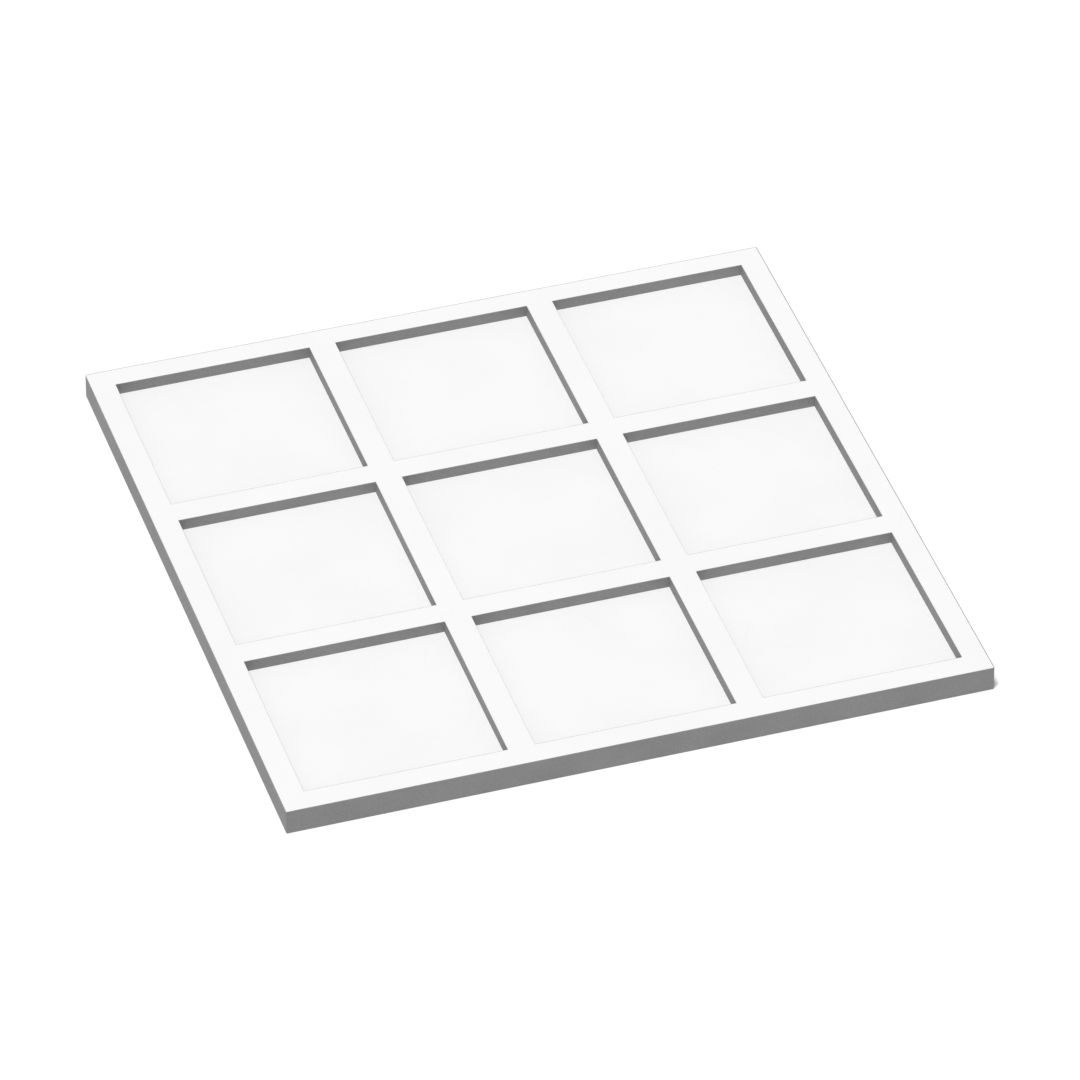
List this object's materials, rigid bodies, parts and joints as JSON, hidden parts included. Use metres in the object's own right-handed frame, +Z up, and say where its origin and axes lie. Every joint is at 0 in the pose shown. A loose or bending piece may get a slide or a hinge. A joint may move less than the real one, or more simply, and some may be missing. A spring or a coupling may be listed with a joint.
{
  "type": "tic-tac-toe board",
  "caption": "Flat square game board with a raised white grid round square pockets for playing pieces: mitred rails, halved bars, base panel and laminate face.",
  "frame": {"origin": "middle of the underside, on the surface that the board lies on", "axes": "+X along the front rail to the right, +Y from the front rail to the back rail, +Z up out of the pockets"},
  "size_m": [0.2, 0.2, 0.0075],
  "materials": {
    "grey_fibreboard": "through-dyed grey fibreboard with sanded, sealed cut faces",
    "white_laminate": "matt white laminate with a fine even texture",
    "beech_key": "plain beech, hidden in the corner joints"
  },
  "bodies": {
    "root": {"base_panel": "grey_fibreboard", "front_rail": "grey_fibreboard", "right_rail": "grey_fibreboard", "back_rail": "grey_fibreboard", "left_rail": "grey_fibreboard", "mitre_key_front_right": "beech_key", "mitre_key_back_right": "beech_key", "mitre_key_back_left": "beech_key", "mitre_key_front_left": "beech_key", "row_bar_front": "grey_fibreboard", "row_bar_back": "grey_fibreboard", "column_bar_left": "grey_fibreboard", "column_bar_right": "grey_fibreboard", "face_sheet": "white_laminate", "pocket_floor_front_left": "white_laminate", "pocket_floor_front_centre": "white_laminate", "pocket_floor_front_right": "white_laminate", "pocket_floor_middle_left": "white_laminate", "pocket_floor_middle_centre": "white_laminate", "pocket_floor_middle_right": "white_laminate", "pocket_floor_back_left": "white_laminate", "pocket_floor_back_centre": "white_laminate", "pocket_floor_back_right": "white_laminate"}
  },
  "joints": []
}
